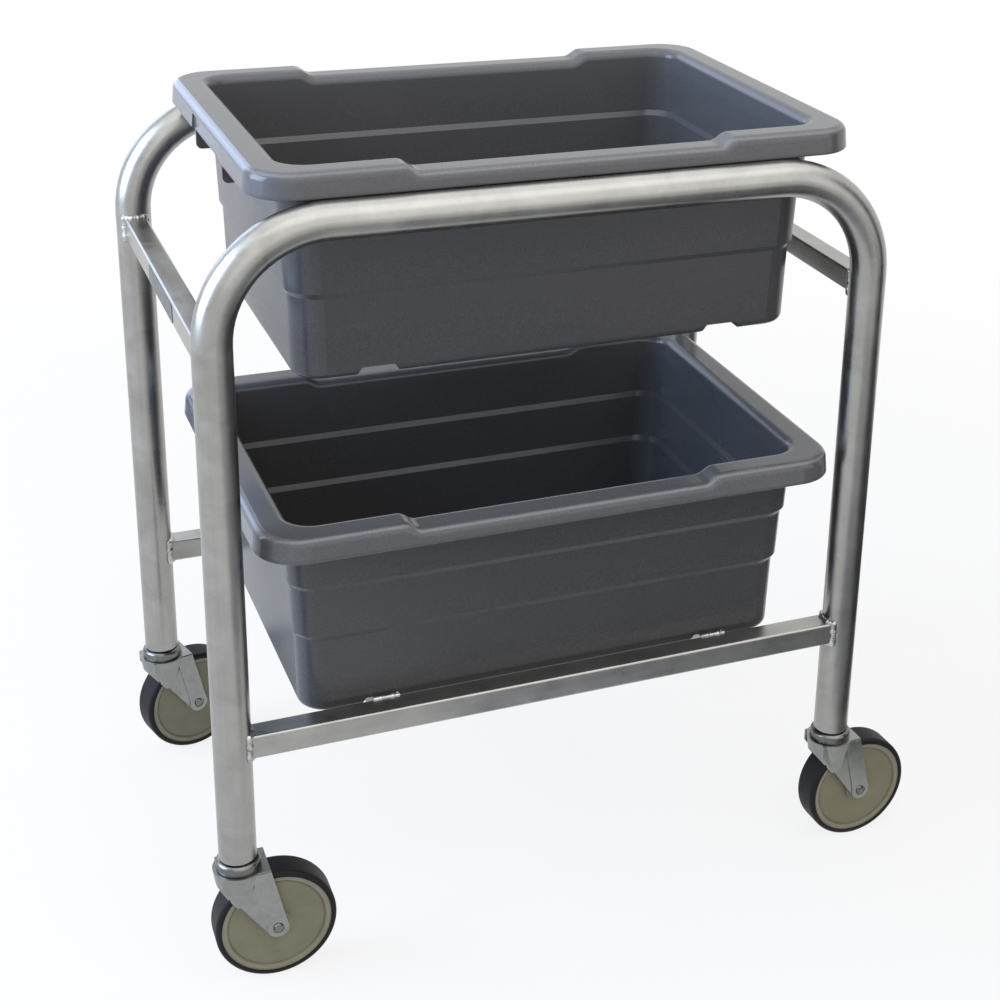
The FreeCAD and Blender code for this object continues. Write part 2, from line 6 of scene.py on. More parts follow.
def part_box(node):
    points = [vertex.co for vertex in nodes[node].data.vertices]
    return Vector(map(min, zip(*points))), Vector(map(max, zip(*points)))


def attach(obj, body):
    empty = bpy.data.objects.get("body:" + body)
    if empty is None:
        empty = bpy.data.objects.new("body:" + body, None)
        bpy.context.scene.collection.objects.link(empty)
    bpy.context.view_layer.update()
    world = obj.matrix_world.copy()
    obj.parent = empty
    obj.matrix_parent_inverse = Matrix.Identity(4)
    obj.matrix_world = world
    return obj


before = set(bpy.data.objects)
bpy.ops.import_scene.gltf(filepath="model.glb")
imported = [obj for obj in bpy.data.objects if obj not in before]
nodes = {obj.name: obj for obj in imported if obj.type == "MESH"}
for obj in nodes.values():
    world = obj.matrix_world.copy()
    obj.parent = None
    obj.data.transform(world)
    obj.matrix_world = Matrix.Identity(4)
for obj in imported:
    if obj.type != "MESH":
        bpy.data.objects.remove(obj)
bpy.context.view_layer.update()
corners = ("front_left", "front_right", "rear_left", "rear_right")
print("frame loaded:", len(nodes), "nodes")


def clearSelection():
    if bpy.context.mode != "OBJECT":
        bpy.ops.object.mode_set(mode="OBJECT")
    bpy.ops.object.select_all(action="DESELECT")
    bpy.context.view_layer.objects.active = None


clearSelection()

# camera, set to the photograph's angle
camera = {
    "place": (-0.61876, -1.76815, 1.30671),
    "yaw": 0.4040,
    "pitch": 0.3616,
    "roll": 0.0297,
    "focal": 1.83256,  # in image widths
    "sensor": 36,
    "nearest": 0.05,
    "middle": (0.604, 0.326),  # where the straight-ahead point lies in the image
}


def placeCamera(spec):
    forward = Vector((math.sin(spec["yaw"]) * math.cos(spec["pitch"]),
                      math.cos(spec["yaw"]) * math.cos(spec["pitch"]), -math.sin(spec["pitch"])))
    right = Vector((math.cos(spec["yaw"]), -math.sin(spec["yaw"]), 0))
    up = right.cross(forward)
    c, s = math.cos(spec["roll"]), math.sin(spec["roll"])
    rightRolled = right * c + up * s
    upRolled = up * c - right * s
    bpy.ops.object.camera_add()
    cam = bpy.context.object
    cam.name = "photoCamera"
    turn = Matrix((rightRolled, upRolled, -forward)).transposed().to_4x4()
    cam.matrix_world = Matrix.Translation(spec["place"]) @ turn
    cam.data.sensor_fit = "HORIZONTAL"
    cam.data.sensor_width = spec["sensor"]
    cam.data.lens = spec["focal"] * spec["sensor"]
    cam.data.shift_x = 0.5 - spec["middle"][0]
    cam.data.shift_y = spec["middle"][1] - 0.5
    cam.data.clip_start = spec["nearest"]
    bpy.context.scene.camera = cam


placeCamera(camera)
clearSelection()
print("camera placed")

# studio: white floor and room, a cool softbox on the left, dark cards on the right for the tubes to reflect
studio = {
    "floorSize": 40.0,
    "floorColor": (0.78, 0.78, 0.78, 1),
    "floorGlow": (0.84, 1.0),  # share of plain white seen near the cart and far from it
    "floorFade": (0.7, 2.2),  # near and far
    "room": (0.23, 0.23, 0.235, 1),
    "lamps": (  # place, aim, size, power, colour
        ("leftSoftbox", (-2.3, 0.2, 1.4), (0.0, 0.0, 0.6), (1.6, 1.6), 84, (0.52, 0.69, 1.0)),
        ("backSoftbox", (-0.9, 2.7, 1.5), (0.0, 0.0, 0.7), (1.6, 1.6), 17, (0.50, 0.67, 1.0)),
        ("topSoftbox", (0.1, -0.1, 2.8), (0.0, 0.0, 0.4), (4.4, 4.4), 50, (1.0, 0.985, 0.96)),
        ("frontSoftbox", (0.3, -2.4, 2.4), (0.0, 0.0, 0.6), (5.0, 4.4), 45, (1.0, 0.985, 0.96)),
    ),
    "cardRoughness": 0.9,
    "cards": (  # middle, tilt, turn, length, width, grey
        ("rightCard", (2.2, -1.0, 0.75), 90, 67, 0.8, 2.0, 0.02),
        ("floorStrip", (1.5, -0.85, 0.01), 0, -43, 2.2, 1.6, 0.02),
        ("frontCard", (0.45, -1.2, 0.01), 0, 0, 0.9, 1.4, 0.35),
    ),
}


def seenDirectly(tree):  # 1 for rays that show the room itself: straight, mirrored or through glass
    path = tree.nodes.new("ShaderNodeLightPath")
    total = path.outputs["Is Camera Ray"]
    for label in ("Is Glossy Ray", "Is Transmission Ray"):
        plus = tree.nodes.new("ShaderNodeMath")
        plus.operation = "MAXIMUM"
        tree.links.new(total, plus.inputs[0])
        tree.links.new(path.outputs[label], plus.inputs[1])
        total = plus.outputs[0]
    return total


def layFloor(spec):
    bpy.ops.mesh.primitive_plane_add(size=spec["floorSize"], location=(0, 0, 0))
    floor = bpy.context.object
    floor.name = "studioFloor"
    mat = bpy.data.materials.new("studioFloor")
    mat.use_nodes = True
    tree = mat.node_tree
    tree.nodes.clear()
    out = tree.nodes.new("ShaderNodeOutputMaterial")
    mix = tree.nodes.new("ShaderNodeMixShader")
    paint = tree.nodes.new("ShaderNodeBsdfDiffuse")
    paint.inputs["Color"].default_value = spec["floorColor"]
    glow = tree.nodes.new("ShaderNodeEmission")
    place = tree.nodes.new("ShaderNodeTexCoord")
    away = tree.nodes.new("ShaderNodeVectorMath")
    away.operation = "LENGTH"
    fade = tree.nodes.new("ShaderNodeMapRange")
    for label, value in zip(("From Min", "From Max", "To Min", "To Max"), spec["floorFade"] + spec["floorGlow"]):
        fade.inputs[label].default_value = value
    share = tree.nodes.new("ShaderNodeMath")
    share.operation = "MULTIPLY"
    tree.links.new(place.outputs["Object"], away.inputs[0])
    tree.links.new(away.outputs["Value"], fade.inputs["Value"])
    tree.links.new(seenDirectly(tree), share.inputs[0])
    tree.links.new(fade.outputs["Result"], share.inputs[1])
    tree.links.new(share.outputs[0], mix.inputs["Fac"])
    tree.links.new(paint.outputs[0], mix.inputs[1])
    tree.links.new(glow.outputs[0], mix.inputs[2])
    tree.links.new(mix.outputs[0], out.inputs["Surface"])
    floor.data.materials.append(mat)


def lightRoom(spec):
    world = bpy.data.worlds.new("studioWorld")
    bpy.context.scene.world = world
    world.use_nodes = True
    tree = world.node_tree
    tree.nodes.clear()
    out = tree.nodes.new("ShaderNodeOutputWorld")
    room = tree.nodes.new("ShaderNodeBackground")
    room.inputs["Color"].default_value = spec["room"]
    white = tree.nodes.new("ShaderNodeBackground")
    white.inputs["Color"].default_value = (1, 1, 1, 1)
    mix = tree.nodes.new("ShaderNodeMixShader")
    tree.links.new(seenDirectly(tree), mix.inputs["Fac"])
    tree.links.new(room.outputs[0], mix.inputs[1])
    tree.links.new(white.outputs[0], mix.inputs[2])
    tree.links.new(mix.outputs[0], out.inputs["Surface"])


def buildStudio(spec):
    layFloor(spec)
    lightRoom(spec)
    for name, place, aim, size, power, color in spec["lamps"]:
        bpy.ops.object.light_add(type="AREA", location=place)
        lamp = bpy.context.object
        lamp.name = name
        lamp.data.shape = "RECTANGLE"
        lamp.data.size, lamp.data.size_y = size
        lamp.data.energy = power
        lamp.data.color = color
        lamp.visible_camera = False
        lamp.rotation_euler = (Vector(aim) - Vector(place)).to_track_quat("-Z", "Y").to_euler()
    for name, place, tilt, turn, length, width, grey in spec["cards"]:
        bpy.ops.mesh.primitive_plane_add(size=1, location=place,
                                         rotation=(math.radians(tilt), 0, math.radians(turn)))
        card = bpy.context.object
        card.name = name
        card.scale = (length, width, 1)
        cloth = bpy.data.materials.new(name)
        cloth.use_nodes = True
        weave = cloth.node_tree.nodes["Principled BSDF"]
        weave.inputs["Base Color"].default_value = (grey, grey, grey, 1)
        weave.inputs["Roughness"].default_value = spec["cardRoughness"]
        card.data.materials.append(cloth)
        card.visible_camera = False
        card.visible_diffuse = False
        card.visible_shadow = False
    bpy.context.scene.view_settings.view_transform = "Standard"


buildStudio(studio)
clearSelection()
print("studio built")


# shader groups that several finishes share
def newGroup(name, inputs, outputs):
    group = bpy.data.node_groups.new(name, "ShaderNodeTree")
    for label, kind, value in inputs:
        socket = group.interface.new_socket(label, in_out="INPUT", socket_type=kind)
        if value is not None:
            socket.default_value = value
    for label, kind in outputs:
        group.interface.new_socket(label, in_out="OUTPUT", socket_type=kind)
    start = group.nodes.new("NodeGroupInput")
    end = group.nodes.new("NodeGroupOutput")
    return group, start, end


def addNode(tree, kind, settings=None, **values):
    node = tree.nodes.new("ShaderNode" + kind)
    for key, value in (settings or {}).items():
        setattr(node, key, value)
    for key, value in values.items():
        node.inputs[key.replace("_", " ")].default_value = value
    return node


def addMath(tree, operation, a, b=None):
    node = tree.nodes.new("ShaderNodeMath")
    node.operation = operation
    for socket, value in zip(node.inputs, (a, b)):
        if value is None:
            continue
        if isinstance(value, (int, float)):
            socket.default_value = value
        else:
            tree.links.new(value, socket)
    return node.outputs[0]


def makeStreaks():  # long fine lines, drawn out along whichever axis has a small scale
    group, start, end = newGroup("drawnStreaks", (
        ("Scale", "NodeSocketVector", (400.0, 400.0, 4.0)),
    ), (("Fine", "NodeSocketFloat"), ("Broad", "NodeSocketFloat")))
    place = addNode(group, "TexCoord")
    stretch = addNode(group, "VectorMath", {"operation": "MULTIPLY"})
    group.links.new(place.outputs["Object"], stretch.inputs[0])
    group.links.new(start.outputs["Scale"], stretch.inputs[1])
    fine = addNode(group, "TexNoise", Scale=1.0, Detail=5.0, Roughness=0.62)
    group.links.new(stretch.outputs[0], fine.inputs["Vector"])
    wide = addNode(group, "VectorMath", {"operation": "SCALE"})
    wide.inputs["Scale"].default_value = 0.14
    group.links.new(stretch.outputs[0], wide.inputs[0])
    broad = addNode(group, "TexNoise", Scale=1.0, Detail=3.0, Roughness=0.5)
    group.links.new(wide.outputs[0], broad.inputs["Vector"])
    group.links.new(fine.outputs["Fac"], end.inputs["Fine"])
    group.links.new(broad.outputs["Fac"], end.inputs["Broad"])
    return group


def makeEdgeWear():  # how far the surface turns within a small radius, broken up by noise
    group, start, end = newGroup("edgeWear", (
        ("Radius", "NodeSocketFloat", 0.0015),
        ("Breakup", "NodeSocketFloat", 120.0),
        ("Amount", "NodeSocketFloat", 1.0),
    ), (("Mask", "NodeSocketFloat"),))
    bevel = addNode(group, "Bevel", {"samples": 6})
    group.links.new(start.outputs["Radius"], bevel.inputs["Radius"])
    geo = addNode(group, "NewGeometry")
    dot = addNode(group, "VectorMath", {"operation": "DOT_PRODUCT"})
    group.links.new(bevel.outputs["Normal"], dot.inputs[0])
    group.links.new(geo.outputs["Normal"], dot.inputs[1])
    turned = addNode(group, "MapRange", From_Min=0.985, From_Max=0.80)
    group.links.new(dot.outputs["Value"], turned.inputs["Value"])
    place = addNode(group, "TexCoord")
    noise = addNode(group, "TexNoise", Detail=3.0)
    group.links.new(place.outputs["Object"], noise.inputs["Vector"])
    group.links.new(start.outputs["Breakup"], noise.inputs["Scale"])
    broken = addNode(group, "MapRange", From_Min=0.35, From_Max=0.62)
    group.links.new(noise.outputs["Fac"], broken.inputs["Value"])
    both = addMath(group, "MULTIPLY", turned.outputs["Result"], broken.outputs["Result"])
    scaled = addMath(group, "MULTIPLY", both, start.outputs["Amount"])
    group.links.new(scaled, end.inputs["Mask"])
    return group


def makeSmudge():  # cloudy handling marks and fine grit
    group, start, end = newGroup("handledSurface", (
        ("Clouds", "NodeSocketFloat", 6.0),
        ("Grit", "NodeSocketFloat", 900.0),
    ), (("Cloud", "NodeSocketFloat"), ("Speck", "NodeSocketFloat")))
    place = addNode(group, "TexCoord")
    cloud = addNode(group, "TexNoise", Detail=5.0, Roughness=0.6, Distortion=0.6)
    group.links.new(place.outputs["Object"], cloud.inputs["Vector"])
    group.links.new(start.outputs["Clouds"], cloud.inputs["Scale"])
    smooth = addNode(group, "MapRange", From_Min=0.3, From_Max=0.7)
    group.links.new(cloud.outputs["Fac"], smooth.inputs["Value"])
    grit = addNode(group, "TexNoise", Detail=2.0)
    group.links.new(place.outputs["Object"], grit.inputs["Vector"])
    group.links.new(start.outputs["Grit"], grit.inputs["Scale"])
    group.links.new(smooth.outputs["Result"], end.inputs["Cloud"])
    group.links.new(grit.outputs["Fac"], end.inputs["Speck"])
    return group


def makeScuffs():  # thin scratches that run in two crossing directions
    group, start, end = newGroup("scuffLines", (
        ("Density", "NodeSocketFloat", 1.0),
    ), (("Mask", "NodeSocketFloat"),))
    place = addNode(group, "TexCoord")
    marks = []
    for turn, scale in (((0.3, 0.5, 0.9), (5, 60, 190)), ((1.1, -0.4, 0.2), (140, 7, 50))):
        mapping = addNode(group, "Mapping")
        mapping.inputs["Rotation"].default_value = turn
        mapping.inputs["Scale"].default_value = scale
        group.links.new(place.outputs["Object"], mapping.inputs["Vector"])
        noise = addNode(group, "TexNoise", Scale=1.0, Detail=2.0, Roughness=0.4)
        group.links.new(mapping.outputs["Vector"], noise.inputs["Vector"])
        thin = addNode(group, "MapRange", From_Min=0.70, From_Max=0.78)
        group.links.new(noise.outputs["Fac"], thin.inputs["Value"])
        marks.append(thin.outputs["Result"])
    both = addMath(group, "MAXIMUM", marks[0], marks[1])
    group.links.new(addMath(group, "MULTIPLY", both, start.outputs["Density"]), end.inputs["Mask"])
    return group


drawnStreaks = makeStreaks()
edgeWear = makeEdgeWear()
handledSurface = makeSmudge()
scuffLines = makeScuffs()


def placeGroup(tree, group, **values):
    node = tree.nodes.new("ShaderNodeGroup")
    node.node_tree = group
    for key, value in values.items():
        node.inputs[key].default_value = value
    return node


def startFinish(name, **values):
    mat = bpy.data.materials.new(name)
    mat.use_nodes = True
    tree = mat.node_tree
    shader = tree.nodes["Principled BSDF"]
    for key, value in values.items():
        shader.inputs[key.replace("_", " ")].default_value = value
    return mat, tree, shader


def mixColors(tree, factor, a, b):
    node = tree.nodes.new("ShaderNodeMix")
    node.data_type = "RGBA"
    for socket, value in ((node.inputs["Factor"], factor), (node.inputs["A"], a), (node.inputs["B"], b)):
        if isinstance(value, (int, float, tuple)):
            socket.default_value = value
        else:
            tree.links.new(value, socket)
    return node.outputs["Result"]


def spread(tree, value, low, high):  # turns a 0-1 mask into a value between low and high
    node = addNode(tree, "MapRange", To_Min=low, To_Max=high)
    tree.links.new(value, node.inputs["Value"])
    return node.outputs["Result"]


def bumpFrom(tree, shader, height, strength, distance):
    bump = addNode(tree, "Bump", Strength=strength, Distance=distance)
    tree.links.new(height, bump.inputs["Height"])
    tree.links.new(bump.outputs["Normal"], shader.inputs["Normal"])


# finishes
aluminium = {
    "dark": (0.23, 0.227, 0.215, 1),
    "light": (0.47, 0.465, 0.447, 1),
    "worn": (0.66, 0.66, 0.65, 1),
    "roughness": (0.20, 0.34),
    "dulled": 0.08,  # how much rougher handling marks are
    "bend": (0.70, 0.79),  # the legs' drawn lines turn into the top tube's between these heights
    "shares": (0.40, 0.25, 0.38),  # broad lines, fine lines and clouds in the tone
    "alongX": (5.0, 420.0, 420.0),
    "alongY": (420.0, 5.0, 420.0),
    "alongZ": (420.0, 420.0, 5.0),
}


def heightMask(tree, low, high):  # 0 below low, 1 above high
    place = addNode(tree, "TexCoord")
    parts = addNode(tree, "SeparateXYZ")
    rise = addNode(tree, "MapRange", From_Min=low, From_Max=high)
    tree.links.new(place.outputs["Object"], parts.inputs[0])
    tree.links.new(parts.outputs["Z"], rise.inputs["Value"])
    return rise.outputs["Result"]


def mixValues(tree, factor, a, b):
    node = addNode(tree, "Mix")
    for socket, value in zip(node.inputs, (factor, None, a, b)):
        if value is not None:
            tree.links.new(value, socket)
    return node.outputs["Result"]


def satinAluminium(name, direction, topDirection=None):
    mat, tree, shader = startFinish(name, Metallic=1.0)
    streaks = placeGroup(tree, drawnStreaks, Scale=aluminium[direction])
    fine, broad = streaks.outputs["Fine"], streaks.outputs["Broad"]
    if topDirection:
        across = placeGroup(tree, drawnStreaks, Scale=aluminium[topDirection])
        turned = heightMask(tree, *aluminium["bend"])
        fine = mixValues(tree, turned, fine, across.outputs["Fine"])
        broad = mixValues(tree, turned, broad, across.outputs["Broad"])
    hands = placeGroup(tree, handledSurface, Clouds=22.0, Grit=1400.0)
    wear = placeGroup(tree, edgeWear, Radius=0.0012, Breakup=160.0, Amount=0.8)
    broadShare, fineShare, cloudShare = aluminium["shares"]
    lines = addMath(tree, "ADD", addMath(tree, "MULTIPLY", broad, broadShare),
                    addMath(tree, "MULTIPLY", fine, fineShare))
    tone = addMath(tree, "ADD", lines, addMath(tree, "MULTIPLY", hands.outputs["Cloud"], cloudShare))
    color = mixColors(tree, tone, aluminium["dark"], aluminium["light"])
    color = mixColors(tree, wear.outputs["Mask"], color, aluminium["worn"])
    tree.links.new(color, shader.inputs["Base Color"])
    low, high = aluminium["roughness"]
    dull = addMath(tree, "MULTIPLY", hands.outputs["Cloud"], aluminium["dulled"])
    tree.links.new(addMath(tree, "ADD", spread(tree, fine, low, high), dull), shader.inputs["Roughness"])
    bumpFrom(tree, shader, fine, 0.12, 0.0004)
    return mat


plastic = {
    "body": (0.050, 0.050, 0.054, 1),
    "pale": (0.078, 0.078, 0.083, 1),
    "rimPale": (0.130, 0.130, 0.137, 1),
    # painted highlight: a pale line on the rim's rolled edge, in place of a gloss highlight
    "edge": (0.25, 0.25, 0.26, 1),
    # painted light: a paler colour that lifts the tub's shaded inner walls and floor
    "inside": (0.112, 0.112, 0.118, 1),
    "scuff": (0.17, 0.17, 0.18, 1),
    "roughness": (0.23, 0.29),
    "shine": 0.42,
    "polish": 0.12,  # how much smoother hands have made the rim
    "rim": (0.028, 0.020),  # the paler rim band starts and is full this far below the top
    "roll": 0.74,  # how far up the rim's surface faces where the painted highlight on its rolled edge is strongest
    "rollReach": (0.18, 0.05),
    # share of the painted highlight on the rolled edge
    "rollHighlightShare": 0.85,
    "shares": (0.15, 0.85),  # clouds and grain in the tone
}


def insideMask(tree, box):  # 1 on the tub's inner walls and floor, where a paler colour is painted in as light against their shade
    low, high = box
    place = addNode(tree, "TexCoord")
    toMiddle = addNode(tree, "VectorMath", {"operation": "SUBTRACT"})
    toMiddle.inputs[0].default_value = ((low[0] + high[0]) / 2, (low[1] + high[1]) / 2, 0)
    tree.links.new(place.outputs["Object"], toMiddle.inputs[1])
    level = addNode(tree, "VectorMath", {"operation": "MULTIPLY"})
    level.inputs[1].default_value = (1, 1, 0)
    tree.links.new(toMiddle.outputs[0], level.inputs[0])
    facing = addNode(tree, "VectorMath", {"operation": "DOT_PRODUCT"})
    tree.links.new(level.outputs[0], facing.inputs[0])
    tree.links.new(place.outputs["Normal"], facing.inputs[1])
    walls = addNode(tree, "MapRange", From_Min=0.03, From_Max=0.12)
    tree.links.new(facing.outputs["Value"], walls.inputs["Value"])
    parts = addNode(tree, "SeparateXYZ")
    tree.links.new(place.outputs["Normal"], parts.inputs[0])
    below = addMath(tree, "SUBTRACT", 1.0, heightMask(tree, high[2] - 0.05, high[2] - 0.03))
    floor = addMath(tree, "MULTIPLY", addMath(tree, "GREATER_THAN", parts.outputs["Z"], 0.5), below)
    return addMath(tree, "MAXIMUM", walls.outputs["Result"], floor)


def rollMask(tree):  # 1 where the rim rolls over, between its level top and its skirt, where a pale line is painted as a highlight
    place = addNode(tree, "TexCoord")
    parts = addNode(tree, "SeparateXYZ")
    tree.links.new(place.outputs["Normal"], parts.inputs[0])
    off = addMath(tree, "ABSOLUTE", addMath(tree, "SUBTRACT", parts.outputs["Z"], plastic["roll"]))
    outer, inner = plastic["rollReach"]
    band = addNode(tree, "MapRange", From_Min=outer, From_Max=inner)
    tree.links.new(off, band.inputs["Value"])
    return band.outputs["Result"]


def lugPlastic(name, box):
    top = box[1][2]
    mat, tree, shader = startFinish(name, Specular_IOR_Level=plastic["shine"])
    hands = placeGroup(tree, handledSurface, Clouds=5.0, Grit=650.0)
    scuffs = placeGroup(tree, scuffLines, Density=0.06)
    wear = placeGroup(tree, edgeWear, Radius=0.003, Breakup=60.0, Amount=0.45)
    grain = addNode(tree, "MapRange", From_Min=0.32, From_Max=0.68)
    tree.links.new(hands.outputs["Speck"], grain.inputs["Value"])
    cloudShare, grainShare = plastic["shares"]
    cloudy = addMath(tree, "MULTIPLY", hands.outputs["Cloud"], cloudShare)
    tone = addMath(tree, "ADD", cloudy, addMath(tree, "MULTIPLY", grain.outputs["Result"], grainShare))
    color = mixColors(tree, tone, plastic["body"], plastic["pale"])
    start, full = plastic["rim"]
    # a paler colour over the rim's top and skirt
    rimBand = addMath(tree, "MULTIPLY", heightMask(tree, top - start, top - full), spread(tree, tone, 0.6, 1.0))
    color = mixColors(tree, rimBand, color, plastic["rimPale"])
    inside = insideMask(tree, box)
    outerRimBand = addMath(tree, "MULTIPLY", rimBand, addMath(tree, "SUBTRACT", 1.0, inside))
    # painted highlight: a pale line along the rim's rolled edge, outside the tub only
    paintedHighlight = addMath(tree, "MULTIPLY", addMath(tree, "MULTIPLY", outerRimBand, rollMask(tree)), plastic["rollHighlightShare"])
    # painted light: the inner walls and floor are paled where shade would darken them
    paintedInteriorLight = addMath(tree, "MULTIPLY", inside, spread(tree, tone, 0.55, 1.0))
    color = mixColors(tree, paintedInteriorLight, color, plastic["inside"])
    marks = addMath(tree, "MAXIMUM", scuffs.outputs["Mask"], wear.outputs["Mask"])
    color = mixColors(tree, marks, color, plastic["scuff"])
    color = mixColors(tree, paintedHighlight, color, plastic["edge"])
    tree.links.new(color, shader.inputs["Base Color"])
    low, high = plastic["roughness"]
    smooth = addMath(tree, "MULTIPLY", outerRimBand, plastic["polish"])
    rough = addMath(tree, "SUBTRACT", spread(tree, hands.outputs["Cloud"], low, high), smooth)
    tree.links.new(rough, shader.inputs["Roughness"])
    bumpFrom(tree, shader, hands.outputs["Speck"], 0.06, 0.0004)
    return mat


zinc = {
    "greased": (0.13, 0.132, 0.125, 1),
    "dull": (0.20, 0.205, 0.195, 1),
    "dark": (0.235, 0.245, 0.232, 1),
    "light": (0.30, 0.31, 0.295, 1),
    "worn": (0.55, 0.56, 0.54, 1),
}


def zincPlate(name, dark, light, roughness):
    mat, tree, shader = startFinish(name, Metallic=1.0)
    hands = placeGroup(tree, handledSurface, Clouds=90.0, Grit=2500.0)
    wear = placeGroup(tree, edgeWear, Radius=0.0008, Breakup=300.0, Amount=0.7)
    color = mixColors(tree, hands.outputs["Cloud"], zinc[dark], zinc[light])
    color = mixColors(tree, wear.outputs["Mask"], color, zinc["worn"])
    tree.links.new(color, shader.inputs["Base Color"])
    low, high = roughness
    tree.links.new(spread(tree, hands.outputs["Cloud"], low, high), shader.inputs["Roughness"])
    bumpFrom(tree, shader, hands.outputs["Speck"], 0.08, 0.0003)
    return mat


tread = {
    "body": (0.010, 0.0095, 0.010, 1),
    "pale": (0.016, 0.0155, 0.016, 1),
    "worn": (0.045, 0.044, 0.045, 1),
    "roughness": (0.42, 0.6),
    "clouds": 24.0,
    "bump": 0.2,
    "shine": 0.15,
}
sleeve = {
    "body": (0.016, 0.016, 0.017, 1),
    "pale": (0.024, 0.024, 0.025, 1),
    "worn": (0.05, 0.05, 0.05, 1),
    "roughness": (0.6, 0.75),
    "clouds": 40.0,
    "bump": 0.2,
    "shine": 0.4,
}
washer = {
    "body": (0.018, 0.018, 0.018, 1),
    "pale": (0.028, 0.028, 0.028, 1),
    "worn": (0.06, 0.06, 0.06, 1),
    "roughness": (0.4, 0.55),
    "clouds": 80.0,
    "bump": 0.1,
    "shine": 0.4,
}
label = {
    "body": (0.035, 0.038, 0.045, 1),
    "pale": (0.05, 0.053, 0.06, 1),
    "worn": (0.14, 0.14, 0.15, 1),
    "roughness": (0.24, 0.4),
    "clouds": 40.0,
    "bump": 0.05,
    "shine": 0.4,
}


core = {
    "body": (0.193, 0.176, 0.106, 1),
    "pale": (0.236, 0.216, 0.140, 1),
    "worn": (0.33, 0.31, 0.23, 1),
    "cornerShade": (0.080, 0.071, 0.044, 1),
    "ring": (0.0530, 0.0542),  # the raised ring begins and is full this far from the middle
    "corner": 0.0514,  # painted shade lies in the corner inside the ring
    "spill": 0.0016,
    # how much paler the raised ring is
    "ringPaleness": 0.55,
    "shadeLine": (0.7, 0.3),  # how strong the painted shade is, least where the clouds are pale
    "roughness": (0.38, 0.52),
    "clouds": 30.0,
    "bump": 0.12,
    "shine": 0.4,
}


def mouldedFinish(name, spec, box=None):  # with a box, the ring and the painted shade line in the corner of a wheel core are added
    mat, tree, shader = startFinish(name, Specular_IOR_Level=spec["shine"])
    hands = placeGroup(tree, handledSurface, Clouds=spec["clouds"], Grit=1800.0)
    wear = placeGroup(tree, edgeWear, Radius=0.001, Breakup=220.0, Amount=0.6)
    cloud, worn = hands.outputs["Cloud"], wear.outputs["Mask"]
    color = mixColors(tree, cloud, spec["body"], spec["pale"])
    if box:
        ring, shadeLine = ringMasks(tree, spec, box)
        color = mixColors(tree, addMath(tree, "MAXIMUM", ring, worn), color, spec["worn"])
        # painted shade: a dark line in the corner inside the ring
        cornerShade = addMath(tree, "MULTIPLY", shadeLine, spread(tree, cloud, *spec["shadeLine"]))
        color = mixColors(tree, cornerShade, color, spec["cornerShade"])
    else:
        color = mixColors(tree, worn, color, spec["worn"])
    tree.links.new(color, shader.inputs["Base Color"])
    tree.links.new(spread(tree, cloud, *spec["roughness"]), shader.inputs["Roughness"])
    bumpFrom(tree, shader, hands.outputs["Speck"], spec["bump"], 0.0004)
    return mat


def ringMasks(tree, spec, box):  # the wheel core's raised ring, and the painted shade line in the corner inside it
    place = addNode(tree, "TexCoord")
    far = addNode(tree, "VectorMath", {"operation": "DISTANCE"})
    far.inputs[1].default_value = [(low + high) / 2 for low, high in zip(*box)]
    tree.links.new(place.outputs["Object"], far.inputs[0])
    start, full = spec["ring"]
    ring = addNode(tree, "MapRange", From_Min=start, From_Max=full, To_Max=spec["ringPaleness"])
    tree.links.new(far.outputs["Value"], ring.inputs["Value"])
    off = addMath(tree, "ABSOLUTE", addMath(tree, "SUBTRACT", far.outputs["Value"], spec["corner"]))
    shadeLine = addNode(tree, "MapRange", From_Min=spec["spill"], From_Max=spec["spill"] * 0.3)
    tree.links.new(off, shadeLine.inputs["Value"])
    return ring.outputs["Result"], shadeLine.outputs["Result"]


def weldAluminium():
    mat, tree, shader = startFinish("weldAluminium", Metallic=1.0)
    hands = placeGroup(tree, handledSurface, Clouds=160.0, Grit=2200.0)
    color = mixColors(tree, hands.outputs["Cloud"], aluminium["dark"], aluminium["worn"])
    tree.links.new(color, shader.inputs["Base Color"])
    tree.links.new(spread(tree, hands.outputs["Cloud"], 0.24, 0.42), shader.inputs["Roughness"])
    bumpFrom(tree, shader, hands.outputs["Speck"], 0.15, 0.0003)
    return mat


weldFinish = weldAluminium()
hoopFinish = satinAluminium("hoopAluminium", "alongZ", "alongX")
railFinish = satinAluminium("railAluminium", "alongX")
barFinish = satinAluminium("barAluminium", "alongY")
lugFinishes = {name: lugPlastic(name + "Plastic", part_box(name)) for name in ("upper_lug", "lower_lug")}
forkFinish = zincPlate("forkZinc", "dark", "light", (0.30, 0.46))
raceFinish = zincPlate("raceZinc", "greased", "dull", (0.20, 0.34))
treadFinish = mouldedFinish("treadRubber", tread)
sleeveFinish = mouldedFinish("sleeveRubber", sleeve)
washerFinish = mouldedFinish("washerNylon", washer)
labelFinish = mouldedFinish("labelFilm", label)


def dress(name, finish):
    mesh = nodes[name].data
    mesh.materials.clear()
    mesh.materials.append(finish)


